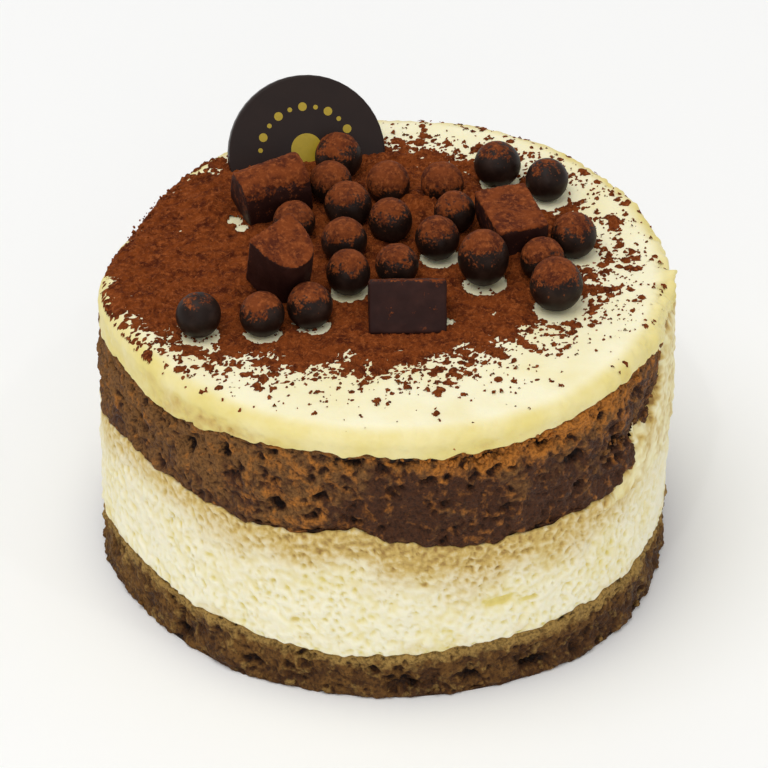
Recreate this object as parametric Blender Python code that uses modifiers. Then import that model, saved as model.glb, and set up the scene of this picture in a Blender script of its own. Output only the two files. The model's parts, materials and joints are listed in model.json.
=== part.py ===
"""An individual tiramisu turned out of a ring mould 80 mm across and 45 mm deep.

From the base up it is a coffee-soaked sponge, a thick layer of mascarpone cream, a second sponge
and a cap of cream. A round chocolate plaque, four cut lengths of chocolate bar and twenty-one
chocolate pearls are set in the cap. Metres, +Z up. The base stands on z = 0 with the ring's axis
on Z, and the front of the cake faces -Y.
"""

import math

import bmesh
import bpy
from mathutils import Matrix, Vector

MM = 0.001

# The ring mould gives the width and the height of the whole cake.
RING_RADIUS = 40.2 * MM
CAKE_HEIGHT = 45.2 * MM

# Height of each layer's upper face at the middle of the cake.
LOWER_SPONGE_TOP = 8.5 * MM
MIDDLE_CREAM_TOP = 27.6 * MM
UPPER_SPONGE_TOP = 40.8 * MM

# Air left between two solids that touch, so that neither cuts into the other.
GAP = 0.3 * MM

PLAQUE_RADIUS = 11.35 * MM
PLAQUE_THICKNESS = 2.0 * MM
PLAQUE_EDGE = 0.3 * MM
PLAQUE_SIDES = 48
PLAQUE_LEAN = math.radians(33)
PLAQUE_TURN = math.radians(11)
# Middle of the plaque's printed face: it stands a little above the cream.
PLAQUE_FACE_CENTRE = Vector((-11.0, 27.8, 46.2)) * MM

BAR_WIDTH = 7.6 * MM
BAR_DEPTH = 7.8 * MM
# 2 is half an ellipse, and more is squarer.
BAR_ROUNDNESS = 2.6
BAR_ARC_STEPS = 12
BAR_EDGE = 0.35 * MM

PEARL_SINK = 0.7 * MM

TURN_STEPS = 60
PEARL_SEGMENTS = 12
PEARL_RINGS = 7
DEGREES_ROUND = 360.0

# Colours are linear.
SPONGE_COLOUR = (0.118, 0.048, 0.018, 1.0)
CREAM_COLOUR = (0.85, 0.77, 0.49, 1.0)
CHOCOLATE_COLOUR = (0.018, 0.009, 0.007, 1.0)
PLAQUE_COLOUR = (0.022, 0.013, 0.013, 1.0)

for old in list(bpy.data.objects):
    bpy.data.objects.remove(old)


def new_collection(name):
    collection = bpy.data.collections.new(name)
    bpy.context.scene.collection.children.link(collection)
    return collection


CAKE = new_collection("tiramisu")
CUTTERS = new_collection("seats")


def finish_material(name, colour, roughness):
    material = bpy.data.materials.new(name)
    material.use_nodes = True
    shader = material.node_tree.nodes["Principled BSDF"]
    shader.inputs["Base Color"].default_value = colour
    shader.inputs["Roughness"].default_value = roughness
    shader.inputs["Metallic"].default_value = 0.0
    return material


def place(name, mesh, collection, matrix=None):
    piece = bpy.data.objects.new(name, mesh)
    collection.objects.link(piece)
    if matrix is not None:
        piece.matrix_world = matrix
    return piece


def dress(piece, material, sharp_degrees=40):
    piece.data.materials.clear()
    piece.data.materials.append(material)
    piece.data.shade_smooth()
    piece.data.set_sharp_from_angle(angle=math.radians(sharp_degrees))


def as_mesh(piece, name):
    """The evaluated mesh of a piece, which is removed."""
    bpy.context.view_layer.update()
    evaluated = piece.evaluated_get(bpy.context.evaluated_depsgraph_get())
    mesh = bpy.data.meshes.new_from_object(evaluated)
    mesh.name = name
    bpy.data.objects.remove(piece)
    return mesh


# ---------------------------------------------------------------- the four layers

def swell(azimuth, swells):
    """Smooth bumps and dips round the rim, each (azimuth, spread, amount) in degrees and metres."""
    total = 0.0
    for centre, spread, amount in swells:
        turn = (azimuth - centre + DEGREES_ROUND / 2) % DEGREES_ROUND - DEGREES_ROUND / 2
        total += amount * math.exp(-((turn / spread) ** 2))
    return total


# Every layer leans in a little at the front left and bulges at the front right.
SLUMP = [(-142, 24, -0.9 * MM), (-45, 24, 0.7 * MM), (-170, 9, 0.4 * MM), (160, 18, -0.9 * MM)]
FOOT_SLUMP = SLUMP + [(-104, 7, -0.5 * MM), (-40, 16, 0.4 * MM)]
# The back left of the cap was pressed flat and slopes down towards its rim.
PRESSED_SIDE = [(160, 15, -1.4 * MM), (138, 20, -0.8 * MM)]
PRESSED_TOP = [(150, 32, -1.9 * MM), (50, 30, 0.5 * MM)]

# How far each meeting of two layers leaves its level at the rim.
LOWER_SPONGE_RIM = [(-97, 16, -1.1 * MM), (-30, 14, 0.7 * MM), (-155, 14, 0.6 * MM), (90, 50, 0.7 * MM)]
MIDDLE_CREAM_RIM = [
    (-70, 14, -2.3 * MM),
    (-42, 18, -2.2 * MM),
    (-97, 5, 1.9 * MM),
    (-120, 9, -0.4 * MM),
    (-174, 9, -3.2 * MM),
    (70, 40, -0.9 * MM),
]
UPPER_SPONGE_RIM = [
    (-143, 19, -2.2 * MM),
    (-100, 20, 0.9 * MM),
    (-38, 20, 1.9 * MM),
    (-175, 9, -2.6 * MM),
    (110, 45, -0.8 * MM),
]


def level(height, rim):
    """An interface that is flat in the middle and leaves its level towards the rim."""
    return lambda azimuth, share: height + swell(azimuth, rim) * share**2


def base_face(azimuth, share):
    return 0.0


def cap_face(azimuth, share):
    """The cap's top: nearly level, with shallow marks of the spatula."""
    x = share * math.cos(math.radians(azimuth))
    y = share * math.sin(math.radians(azimuth))
    spatula = 0.22 * MM * math.sin(5.1 * x + 1.7 * y + 0.8) * math.cos(3.3 * y - 1.2 * x)
    return CAKE_HEIGHT + spatula + swell(azimuth, PRESSED_TOP) * share**4


def cap_height(x, y):
    azimuth = math.degrees(math.atan2(y, x))
    return cap_face(azimuth, math.hypot(x, y) / RING_RADIUS)


# Profiles run from the top of the axis round the side to its foot, as shares of the radius and of
# the thickness.
SPONGE_PROFILE = [
    (0, 1), (0.5, 1), (0.955, 1), (0.99, 0.92), (1, 0.68),
    (1, 0.32), (0.998, 0.06), (0.985, 0), (0.5, 0), (0, 0),
]
CREAM_PROFILE = [
    (0, 1), (0.5, 1), (0.985, 1), (1, 0.9), (1.003, 0.62),
    (1.002, 0.32), (0.998, 0.08), (0.985, 0), (0.5, 0), (0, 0),
]
CAP_PROFILE = [
    (0, 1), (0.35, 1), (0.66, 1), (0.86, 1), (0.93, 0.97), (0.972, 0.84),
    (0.996, 0.58), (1.003, 0.34), (0.992, 0.1), (0.965, 0), (0.5, 0), (0, 0),
]


def layer(name, profile, slump, underside, topside, material):
    """A profile turned round the axis, then fitted to an uneven outline between two faces."""
    outline = bpy.data.meshes.new(name + "_profile")
    outline.from_pydata(
        [(share, 0, rise) for share, rise in profile],
        [(i, i + 1) for i in range(len(profile) - 1)],
        [],
    )
    turned = place(name + "_turned", outline, CUTTERS)
    screw = turned.modifiers.new("turn", "SCREW")
    screw.steps = TURN_STEPS
    screw.render_steps = TURN_STEPS
    screw.use_merge_vertices = True
    screw.merge_threshold = 0.0001
    mesh = as_mesh(turned, name)
    for vertex in mesh.vertices:
        share = math.hypot(vertex.co.x, vertex.co.y)
        azimuth = math.degrees(math.atan2(vertex.co.y, vertex.co.x))
        radius = share * (RING_RADIUS + swell(azimuth, slump) * share**2)
        low = underside(azimuth, min(share, 1))
        high = topside(azimuth, min(share, 1))
        rise = vertex.co.z
        vertex.co = (
            radius * math.cos(math.radians(azimuth)),
            radius * math.sin(math.radians(azimuth)),
            low + (high - low) * rise,
        )
    piece = place(name, mesh, CAKE)
    dress(piece, material)
    return piece


def above(face):
    return lambda azimuth, share: face(azimuth, share) + GAP / 2


def below(face):
    return lambda azimuth, share: face(azimuth, share) - GAP / 2


lower_meeting = level(LOWER_SPONGE_TOP, LOWER_SPONGE_RIM)
middle_meeting = level(MIDDLE_CREAM_TOP, MIDDLE_CREAM_RIM)
upper_meeting = level(UPPER_SPONGE_TOP, UPPER_SPONGE_RIM)

sponge = finish_material("sponge", SPONGE_COLOUR, 0.85)
cream = finish_material("cream", CREAM_COLOUR, 0.5)

layer("lower_sponge", SPONGE_PROFILE, FOOT_SLUMP, base_face, below(lower_meeting), sponge)
layer("middle_cream", CREAM_PROFILE, SLUMP, above(lower_meeting), below(middle_meeting), cream)
upper_sponge = layer(
    "upper_sponge", SPONGE_PROFILE, SLUMP, above(middle_meeting), below(upper_meeting), sponge
)
top_cream = layer("top_cream", CAP_PROFILE, SLUMP + PRESSED_SIDE, above(upper_meeting), cap_face, cream)


# ---------------------------------------------------------------- what is set in the cap

def hide_cutter(cutter):
    cutter.hide_render = True
    cutter.display_type = "WIRE"


def seat(piece, cutter):
    """Cuts the room of a piece out of a layer."""
    cut = piece.modifiers.new("seat_" + cutter.name, "BOOLEAN")
    cut.operation = "DIFFERENCE"
    cut.object = cutter


def disc(name, radius, thickness, matrix, collection, bevel):
    bpy.ops.mesh.primitive_cylinder_add(vertices=PLAQUE_SIDES, radius=radius, depth=thickness)
    made = bpy.context.object
    mesh = made.data
    mesh.name = name
    bpy.data.objects.remove(made)
    piece = place(name, mesh, collection, matrix)
    if bevel:
        rounding = piece.modifiers.new("edge", "BEVEL")
        rounding.width = bevel
        rounding.segments = 2
    return piece


def plaque():
    """A moulded chocolate disc, pushed into the cap with its face leaning back."""
    lean = Matrix.Rotation(PLAQUE_TURN, 4, "Z") @ Matrix.Rotation(math.pi / 2 - PLAQUE_LEAN, 4, "X")
    face_normal = lean @ Vector((0, 0, 1))
    centre = PLAQUE_FACE_CENTRE - face_normal * PLAQUE_THICKNESS / 2
    matrix = Matrix.Translation(centre) @ lean
    piece = disc("plaque", PLAQUE_RADIUS, PLAQUE_THICKNESS, matrix, CAKE, PLAQUE_EDGE)
    dress(piece, finish_material("plaque", PLAQUE_COLOUR, 0.45), 30)
    slot = disc("plaque_slot", PLAQUE_RADIUS + GAP, PLAQUE_THICKNESS + 2 * GAP, matrix, CUTTERS, 0)
    hide_cutter(slot)
    seat(top_cream, slot)
    seat(upper_sponge, slot)


def bar(name, length, matrix, grow, collection):
    """A cut length of bar: flat on one side and rounded on the other, like a loaf."""
    half_width = BAR_WIDTH / 2 + grow
    depth = BAR_DEPTH + 2 * grow
    arc = [math.pi * i / BAR_ARC_STEPS for i in range(BAR_ARC_STEPS + 1)]
    curve = bpy.data.curves.new(name, "CURVE")
    curve.dimensions = "2D"
    curve.fill_mode = "BOTH"
    curve.extrude = length / 2 + grow
    spline = curve.splines.new("POLY")
    spline.points.add(len(arc) - 1)
    spline.use_cyclic_u = True
    for point, angle in zip(spline.points, arc):
        across = math.copysign(abs(math.cos(angle)) ** (2 / BAR_ROUNDNESS), math.cos(angle))
        out = math.sin(angle) ** (2 / BAR_ROUNDNESS) if 0 < angle < math.pi else 0.0
        point.co = (half_width * across, depth * out - depth / 2, 0, 1)
    mesh = as_mesh(place(name + "_outline", curve, CUTTERS), name)
    weld(mesh)
    piece = place(name, mesh, collection, matrix)
    if not grow:
        rounding = piece.modifiers.new("edge", "BEVEL")
        rounding.width = BAR_EDGE
        rounding.segments = 1
        rounding.angle_limit = math.radians(35)
    return piece


def weld(mesh):
    """Joins a filled curve's loose caps to its side."""
    work = bmesh.new()
    work.from_mesh(mesh)
    bmesh.ops.remove_doubles(work, verts=work.verts, dist=0.01 * MM)
    work.to_mesh(mesh)
    work.free()


def lay(centre, length_way, round_way):
    """Matrix of a bar whose length runs along length_way and whose rounded side faces round_way."""
    along = Vector(length_way).normalized()
    out = Vector(round_way)
    out = (out - along * out.dot(along)).normalized()
    turn = Matrix((out.cross(along), out, along)).transposed()
    return Matrix.Translation(Vector(centre) * MM) @ turn.to_4x4()


# Length and centre in millimetres, the way the length runs, and the way the rounded side faces.
BARS = [
    (9.8, (-16.0, 15.1, 48.9), (0.92, 0.37, 0.13), (0.0, -0.3, 1.0)),
    (10.7, (-13.7, -6.8, 50.6), (0.07, -0.42, 0.905), (0.64, -0.67, -0.39)),
    (10.8, (3.2, -11.0, 46.8), (1.0, 0.02, 0.0), (0.0, 0.88, -0.47)),
    (10.4, (17.9, 6.7, 47.3), (-0.33, 0.94, 0.06), (0.0, 0.0, -1.0)),
]

# Where each pearl was dropped, its width and its height, in millimetres.
PEARLS = [
    (-6.5, 24.8, 6.9, 6.8),
    (-7.6, 18.3, 6.2, 6.2),
    (-5.1, 12.0, 6.9, 6.8),
    (-12.7, 8.3, 6.1, 6.1),
    (0.9, 8.2, 6.3, 6.5),
    (-5.6, 3.2, 6.6, 6.6),
    (7.5, 3.9, 6.4, 6.2),
    (-5.0, -4.7, 6.3, 6.6),
    (1.8, -2.6, 6.2, 6.0),
    (-10.3, -12.6, 6.5, 6.6),
    (-16.9, -14.6, 6.4, 6.4),
    (-25.7, -14.9, 6.4, 6.4),
    (0.6, 18.1, 6.3, 6.2),
    (8.3, 18.1, 6.2, 6.0),
    (10.0, 10.6, 6.0, 6.1),
    (16.2, 22.6, 6.8, 6.6),
    (23.2, 18.9, 6.2, 6.3),
    (26.7, 4.8, 6.6, 6.6),
    (22.2, -1.1, 6.4, 6.2),
    (24.0, -8.3, 7.6, 7.6),
    (13.9, -2.4, 7.3, 8.3),
]


def chocolate_bars(material):
    for number, (length, centre, length_way, round_way) in enumerate(BARS, start=1):
        matrix = lay(centre, length_way, round_way)
        dress(bar(f"chunk_{number}", length * MM, matrix, 0, CAKE), material, 50)
        room = bar(f"chunk_room_{number}", length * MM, matrix, GAP, CUTTERS)
        hide_cutter(room)
        seat(top_cream, room)


def ball(name, width, height, centre, collection):
    bpy.ops.mesh.primitive_uv_sphere_add(
        segments=PEARL_SEGMENTS, ring_count=PEARL_RINGS, radius=0.5
    )
    made = bpy.context.object
    mesh = made.data
    mesh.name = name
    mesh.transform(Matrix.Diagonal((width, width, height, 1)))
    bpy.data.objects.remove(made)
    return place(name, mesh, collection, Matrix.Translation(centre))


def pearls(material):
    """Chocolate-coated crisp balls, each sunk a little into the cream."""
    for number, row in enumerate(PEARLS, start=1):
        x, y, width, height = (value * MM for value in row)
        centre = Vector((x, y, cap_height(x, y) + height / 2 - PEARL_SINK))
        dress(ball(f"pearl_{number:02d}", width, height, centre, CAKE), material)
        room = ball(f"pearl_room_{number:02d}", width + 2 * GAP, height + 2 * GAP, centre, CUTTERS)
        hide_cutter(room)
        seat(top_cream, room)


chocolate = finish_material("chocolate", CHOCOLATE_COLOUR, 0.5)
plaque()
chocolate_bars(chocolate)
pearls(chocolate)
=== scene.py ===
"""An individual tiramisu turned out of a ring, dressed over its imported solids.

The sections follow the cake as it is put together: the table and light it is looked at in, the two
soaked sponges, the mascarpone cream between them, the cap of cream, the cocoa sifted over it, the
chocolate set in the cap, and last the loose crumbs and grains.
"""

import json
import math

import bmesh
import bpy
import numpy as np
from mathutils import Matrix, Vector, noise

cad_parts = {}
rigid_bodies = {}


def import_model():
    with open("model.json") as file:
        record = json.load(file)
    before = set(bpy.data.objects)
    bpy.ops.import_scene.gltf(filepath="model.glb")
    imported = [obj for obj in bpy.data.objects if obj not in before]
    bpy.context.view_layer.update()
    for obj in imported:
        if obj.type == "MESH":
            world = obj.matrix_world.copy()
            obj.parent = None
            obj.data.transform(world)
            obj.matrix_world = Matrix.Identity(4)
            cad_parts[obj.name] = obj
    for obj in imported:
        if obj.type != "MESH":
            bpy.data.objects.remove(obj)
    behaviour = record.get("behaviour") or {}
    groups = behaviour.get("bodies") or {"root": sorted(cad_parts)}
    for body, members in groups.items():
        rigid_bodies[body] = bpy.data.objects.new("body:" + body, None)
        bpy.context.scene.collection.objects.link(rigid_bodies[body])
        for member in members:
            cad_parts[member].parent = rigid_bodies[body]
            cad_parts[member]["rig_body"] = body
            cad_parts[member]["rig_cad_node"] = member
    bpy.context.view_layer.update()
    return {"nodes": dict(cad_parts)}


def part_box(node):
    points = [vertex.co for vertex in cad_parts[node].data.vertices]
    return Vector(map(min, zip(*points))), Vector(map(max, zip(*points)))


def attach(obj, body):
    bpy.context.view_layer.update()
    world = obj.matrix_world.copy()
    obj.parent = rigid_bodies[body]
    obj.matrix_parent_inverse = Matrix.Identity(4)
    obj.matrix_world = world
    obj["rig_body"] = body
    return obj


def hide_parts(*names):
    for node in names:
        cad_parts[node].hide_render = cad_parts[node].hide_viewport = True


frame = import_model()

# ---------------------------------------------------------------- table, light and camera
# A matt white table under a soft white sky. Two small lamps give the pinpoint glints on the
# chocolate, and the camera looks down on the front of the cake.

MM = 0.001
SCENE = bpy.context.scene
SCENE.view_settings.view_transform = "Standard"
CAMERA_RISE = math.radians(35.3)
CAMERA_AWAY = 1.0
CAMERA_LENS = 330
SKY_GLOW = 0.66
TABLE_HALF = 3
AIM = Vector((0, 0, 25.4 * MM))


def principled(name, roughness, **values):
    """A new material, its node tree and its Principled shader."""
    material = bpy.data.materials.new(name)
    material.use_nodes = True
    shader = material.node_tree.nodes["Principled BSDF"]
    shader.inputs["Roughness"].default_value = roughness
    for key, value in values.items():
        shader.inputs[key.replace("_", " ")].default_value = value
    return material, material.node_tree, shader


def area_lamp(name, size, watts, place):
    lamp = bpy.data.lights.new(name, "AREA")
    lamp.shape = "DISK"
    lamp.size = size
    lamp.energy = watts
    holder = bpy.data.objects.new(name, lamp)
    SCENE.collection.objects.link(holder)
    holder.location = place
    holder.rotation_euler = (AIM - Vector(place)).to_track_quat("-Z", "Y").to_euler()


table_mesh = bpy.data.meshes.new("table")
table_corners = [(TABLE_HALF * x, TABLE_HALF * y, 0) for x, y in ((-1, -1), (1, -1), (1, 1), (-1, 1))]
table_mesh.from_pydata(table_corners, [], [(0, 1, 2, 3)])
table = bpy.data.objects.new("table", table_mesh)
SCENE.collection.objects.link(table)
table_paint, _, table_shader = principled("table_paint", 0.75)
table_shader.inputs["Base Color"].default_value = (0.95, 0.95, 0.94, 1)
table_mesh.materials.append(table_paint)

sky = bpy.data.worlds.new("sky")
sky.use_nodes = True
sky.node_tree.nodes["Background"].inputs["Color"].default_value = (1, 1, 1, 1)
sky.node_tree.nodes["Background"].inputs["Strength"].default_value = SKY_GLOW
SCENE.world = sky
area_lamp("overhead", 0.9, 4.3, (-0.25, -0.15, 1.1))
area_lamp("front_fill", 0.7, 1.5, (0.1, -1.2, 0.75))
area_lamp("glint_left", 0.03, 0.35, (-0.1, -0.45, 0.75))
area_lamp("glint_right", 0.03, 0.2, (0.35, -0.3, 0.8))

lens = bpy.data.cameras.new("camera")
lens.lens = CAMERA_LENS
lens.sensor_width = 36
lens.clip_start = 0.05
camera = bpy.data.objects.new("camera", lens)
SCENE.collection.objects.link(camera)
camera.location = AIM + CAMERA_AWAY * Vector((0, -math.cos(CAMERA_RISE), math.sin(CAMERA_RISE)))
camera.rotation_euler = (math.pi / 2 - CAMERA_RISE, 0, 0)
SCENE.camera = camera

# ---------------------------------------------------------------- the two sponges
# Genoise discs cut with the ring and soaked in coffee. The knife and the ring tear their sides open,
# so pores, torn crags and crumbs show, dark where the coffee pooled and paler where it did not reach.
# Shade is painted dark into their hollows and caves, and light is painted paler onto their ridges.

COLUMNS = 960
SECTORS = 60
FOLD = math.tau / SECTORS
AZIMUTH = np.linspace(-math.pi, math.pi, COLUMNS, endpoint=False)
SPONGE_EDGE = 0.7 * MM
SPONGE_SHARES = (0.1, 0.5, 0.8, 0.9, 0.95)
RING_RADIUS = 40 * MM


def lumps(points, size, shift=0.0):
    """Smooth noise from about -1 to 1 at each point. size is the width of one lump."""
    return np.array([noise.noise(p) for p in (points / size + shift).tolist()])


def hollows(points, size, shift=0.0, reach=0.5):
    """0 between scattered round hollows, rising to 1 in the middle of each."""
    nearest = np.array([noise.voronoi(p)[0][0] for p in (points / size + shift).tolist()])
    return np.clip(1 - nearest / reach, 0, 1)


def smooth(value, low, high):
    share = np.clip((value - low) / (high - low), 0, 1)
    return share * share * (3 - 2 * share)


def round_bump(azimuth, centre, spread):
    """1 at an azimuth in degrees, falling away over a spread of degrees."""
    turn = (np.degrees(azimuth) - centre + 180) % 360 - 180
    return np.exp(-((turn / spread) ** 2))


def node_points(node):
    co = np.empty(len(frame["nodes"][node].data.vertices) * 3)
    frame["nodes"][node].data.vertices.foreach_get("co", co)
    return co.reshape(-1, 3)


def rim_of(node):
    """Outer radius, foot and top of a layer's rim at every column, read from its solid."""
    points = node_points(node)
    radius = np.hypot(points[:, 0], points[:, 1])
    sector = np.round((np.arctan2(points[:, 1], points[:, 0]) + math.pi) / FOLD).astype(int) % SECTORS
    found = []
    for number in range(SECTORS):
        here = sector == number
        rim = here & (radius > 0.925 * radius[here].max())
        found.append((radius[here].max(), points[rim, 2].min(), points[rim, 2].max()))
    middle = -math.pi + FOLD * np.arange(SECTORS)
    return [np.interp(AZIMUTH, middle, values, period=math.tau) for values in zip(*found)]


def ragged_line(shift):
    """How far a seam between two layers wanders up and down at each column."""
    ring = np.stack([np.cos(AZIMUTH), np.sin(AZIMUTH), 0 * AZIMUTH], -1) * RING_RADIUS
    return (0.55 * lumps(ring, 4 * MM, shift) + 0.5 * lumps(ring, 1.6 * MM, shift + 2)) * MM


# The pattern each layer's foot and top follow, so that neighbours share one line.
SEAMS = {
    "lower_sponge": (None, 1),
    "middle_cream": (1, 5),
    "upper_sponge": (5, 9),
    "top_cream": (9, None),
}


def seamed_rim(node):
    """A layer's rim with its two seams made ragged, and drawn together over the solids' gap."""
    radius, foot, top = rim_of(node)
    below, above = SEAMS[node]
    if below is not None:
        foot = foot - 0.3 * MM + ragged_line(below)
    if above is not None:
        top = top + ragged_line(above)
    return radius, foot, top


def side_path(rows, top_edge, foot_edge, top_steps, foot_steps, face_shares):
    """A layer's section from the axis over the side and back, as (share, inset, lift, follow, out, up).

    share scales the radius, inset is taken off it, and lift is added to a height that follows the
    top (1) or the foot (0) of the rim. out and up are the way the surface faces."""
    path = [(share, 0, 0, 1, 0, 1) for share in face_shares]
    for step in range(top_steps + 1):
        a = math.pi / 2 * step / top_steps
        turn_in = top_edge[0] * (1 - math.sin(a))
        path.append((1, turn_in, -top_edge[1] * (1 - math.cos(a)), 1, math.sin(a), math.cos(a)))
    for step in range(1, rows):
        t = step / rows
        path.append((1, 0, -top_edge[1] * (1 - t) + foot_edge[1] * t, 1 - t, 1, 0))
    for step in range(foot_steps + 1):
        a = math.pi / 2 * step / foot_steps
        turn_in = foot_edge[0] * (1 - math.cos(a))
        path.append((1, turn_in, foot_edge[1] * (1 - math.sin(a)), 0, math.cos(a), -math.sin(a)))
    path += [(share, 0, 0, 0, 0, -1) for share in (0.9, 0.5, 0.1)]
    return np.array(path)


def turned_points(path, radius, foot, top):
    """Points and outward directions of a section turned through every column."""
    share, inset, lift, follow, out, up = (path[:, i][:, None] for i in range(6))
    r = share * radius[None, :] - inset
    z = follow * top[None, :] + (1 - follow) * foot[None, :] + lift
    points = np.stack([r * np.cos(AZIMUTH), r * np.sin(AZIMUTH), z], -1)
    way = np.stack([out * np.cos(AZIMUTH), out * np.sin(AZIMUTH), up + 0 * r], -1)
    return points, way


def quads_around(rows, columns):
    row, column = np.meshgrid(np.arange(rows - 1), np.arange(columns), indexing="ij")
    after = (column + 1) % columns
    here, below = row * columns, (row + 1) * columns
    return np.stack([here + column, below + column, below + after, here + after], -1).reshape(-1, 4)


def new_mesh(name, points, faces, fields=None):
    """A smooth mesh from arrays, with its named point fields, linked to the scene."""
    mesh = bpy.data.meshes.new(name)
    mesh.vertices.add(len(points))
    mesh.vertices.foreach_set("co", np.ascontiguousarray(points, np.float32).ravel())
    sides = faces.shape[1]
    mesh.loops.add(faces.size)
    mesh.loops.foreach_set("vertex_index", faces.astype(np.int32).ravel())
    mesh.polygons.add(len(faces))
    mesh.polygons.foreach_set("loop_start", np.arange(0, faces.size, sides, dtype=np.int32))
    mesh.update(calc_edges=True)
    for key, values in (fields or {}).items():
        field = mesh.attributes.new(key, "FLOAT", "POINT")
        field.data.foreach_set("value", values.astype(np.float32))
    mesh.shade_smooth()
    piece = bpy.data.objects.new(name, mesh)
    SCENE.collection.objects.link(piece)
    return piece


def turned_piece(name, points, fields):
    """A closed layer: rows of columns, with its two ends drawn together at the axis."""
    rows, columns = points.shape[:2]
    flat = points.reshape(-1, 3)
    ends = np.array([[0, 0, points[0, :, 2].mean()], [0, 0, points[-1, :, 2].mean()]])
    piece = new_mesh(
        name,
        np.vstack([flat, ends]),
        quads_around(rows, columns),
        {key: np.append(values.ravel(), [0, 0]) for key, values in fields.items()},
    )
    top_pole, foot_pole = len(flat), len(flat) + 1
    column = np.arange(columns)
    after = (column + 1) % columns
    last = (rows - 1) * columns
    work = bmesh.new()
    work.from_mesh(piece.data)
    work.verts.ensure_lookup_table()
    for a, b in zip(column.tolist(), after.tolist()):
        work.faces.new([work.verts[i] for i in (top_pole, a, b)]).smooth = True
        work.faces.new([work.verts[i] for i in (foot_pole, last + b, last + a)]).smooth = True
    work.to_mesh(piece.data)
    work.free()
    return piece


def srgb(red, green, blue):
    """A colour given as 0 to 255 a channel, as linear light."""
    shares = [channel / 255 for channel in (red, green, blue)]
    return tuple(c / 12.92 if c <= 0.04045 else ((c + 0.055) / 1.055) ** 2.4 for c in shares) + (1.0,)


def add_node(tree, kind, inputs=None, **settings):
    """A shader node with its settings; an input is a value or another node's output."""
    made = tree.nodes.new(kind)
    for key, value in settings.items():
        setattr(made, key, value)
    for key, value in (inputs or {}).items():
        if isinstance(value, bpy.types.NodeSocket):
            tree.links.new(value, made.inputs[key])
        else:
            made.inputs[key].default_value = value
    return made


def speckle(tree, scale, detail, roughness=0.5):
    """Noise through the solid piece, scale lumps to the metre."""
    where = add_node(tree, "ShaderNodeTexCoord").outputs["Object"]
    values = {"Vector": where, "Scale": scale, "Detail": detail, "Roughness": roughness}
    return add_node(tree, "ShaderNodeTexNoise", values).outputs["Fac"]


def ranged(tree, value, low, high, to_low=0.0, to_high=1.0):
    """How far a value lies from low to high, given out as to_low to to_high."""
    limits = {"From Min": low, "From Max": high, "To Min": to_low, "To Max": to_high}
    return add_node(tree, "ShaderNodeMapRange", {"Value": value, **limits}).outputs[0]


def reckon(tree, operation, *values, clamp=False):
    inputs = dict(enumerate(values))
    return add_node(tree, "ShaderNodeMath", inputs, operation=operation, use_clamp=clamp).outputs[0]


def blend(tree, share, first, second):
    colours = {0: share, 6: first, 7: second}
    return add_node(tree, "ShaderNodeMix", colours, data_type="RGBA").outputs[2]


def bumped(tree, strength, distance, height):
    values = {"Strength": strength, "Distance": distance, "Height": height}
    return add_node(tree, "ShaderNodeBump", values).outputs["Normal"]


def attribute(tree, name):
    return add_node(tree, "ShaderNodeAttribute", attribute_name=name).outputs["Fac"]


def new_group(name, colours, numbers, gives):
    """An empty node group with named sockets, what it is given, and what it gives."""
    tree = bpy.data.node_groups.new(name, "ShaderNodeTree")
    sockets = [(label, "INPUT", "NodeSocketColor") for label in colours]
    sockets += [(label, "INPUT", "NodeSocketFloat") for label in numbers]
    sockets += [("Color", "OUTPUT", "NodeSocketColor")]
    sockets += [(label, "OUTPUT", "NodeSocketFloat") for label in gives]
    for label, way, kind in sockets:
        tree.interface.new_socket(label, in_out=way, socket_type=kind)
    return tree, tree.nodes.new("NodeGroupInput").outputs, tree.nodes.new("NodeGroupOutput").inputs


def feed(tree, node_inputs, sources):
    """Links each named output to the input of its name."""
    for label, source in sources.items():
        tree.links.new(source, node_inputs[label])


def crumb_group():
    """Torn, soaked crumb: colour and height from the depth of its hollows and its tone; the depth paints
    shade into the hollows.
    """
    labels = ("Crumb", "Soaked", "Toasted", "Hollow Shade")
    fields = ("Depth", "Tone", "Toast", "Grain")
    tree, given, give = new_group("crumb", labels, fields, ("Height", "Gloss"))
    patch = speckle(tree, 190.0, 4.0, 0.6)
    mottle = speckle(tree, 620.0, 4.0, 0.6)
    fine = speckle(tree, 2300.0, 3.0, 0.6)
    wet = ranged(tree, reckon(tree, "SUBTRACT", patch, given["Tone"]), 0.36, 0.6)
    base = blend(tree, wet, given["Crumb"], given["Soaked"])
    dry = reckon(tree, "MULTIPLY_ADD", given["Toast"], 0.8, mottle)
    flecked = blend(tree, ranged(tree, dry, 0.56, 0.8, 0.0, 0.9), base, given["Toasted"])
    # Painted shade: the depth, spread by fine noise, darkens the crumb towards the hollow colour.
    shade = ranged(tree, fine, 0.36, 0.62, 0.55, -0.2)
    deep = reckon(tree, "ADD", given["Depth"], shade, clamp=True)
    colour = blend(tree, deep, flecked, given["Hollow Shade"])
    height = reckon(tree, "MULTIPLY_ADD", mottle, given["Grain"], fine)
    gloss = ranged(tree, wet, 0.0, 1.0, 0.85, 0.5)
    feed(tree, give, {"Color": colour, "Height": height, "Gloss": gloss})
    return tree


CRUMB_GROUP = crumb_group()
# The painted shade colour of the crumb's deep hollows and caves.
CRUMB_HOLLOW_SHADE = srgb(26, 13, 8)


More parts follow.
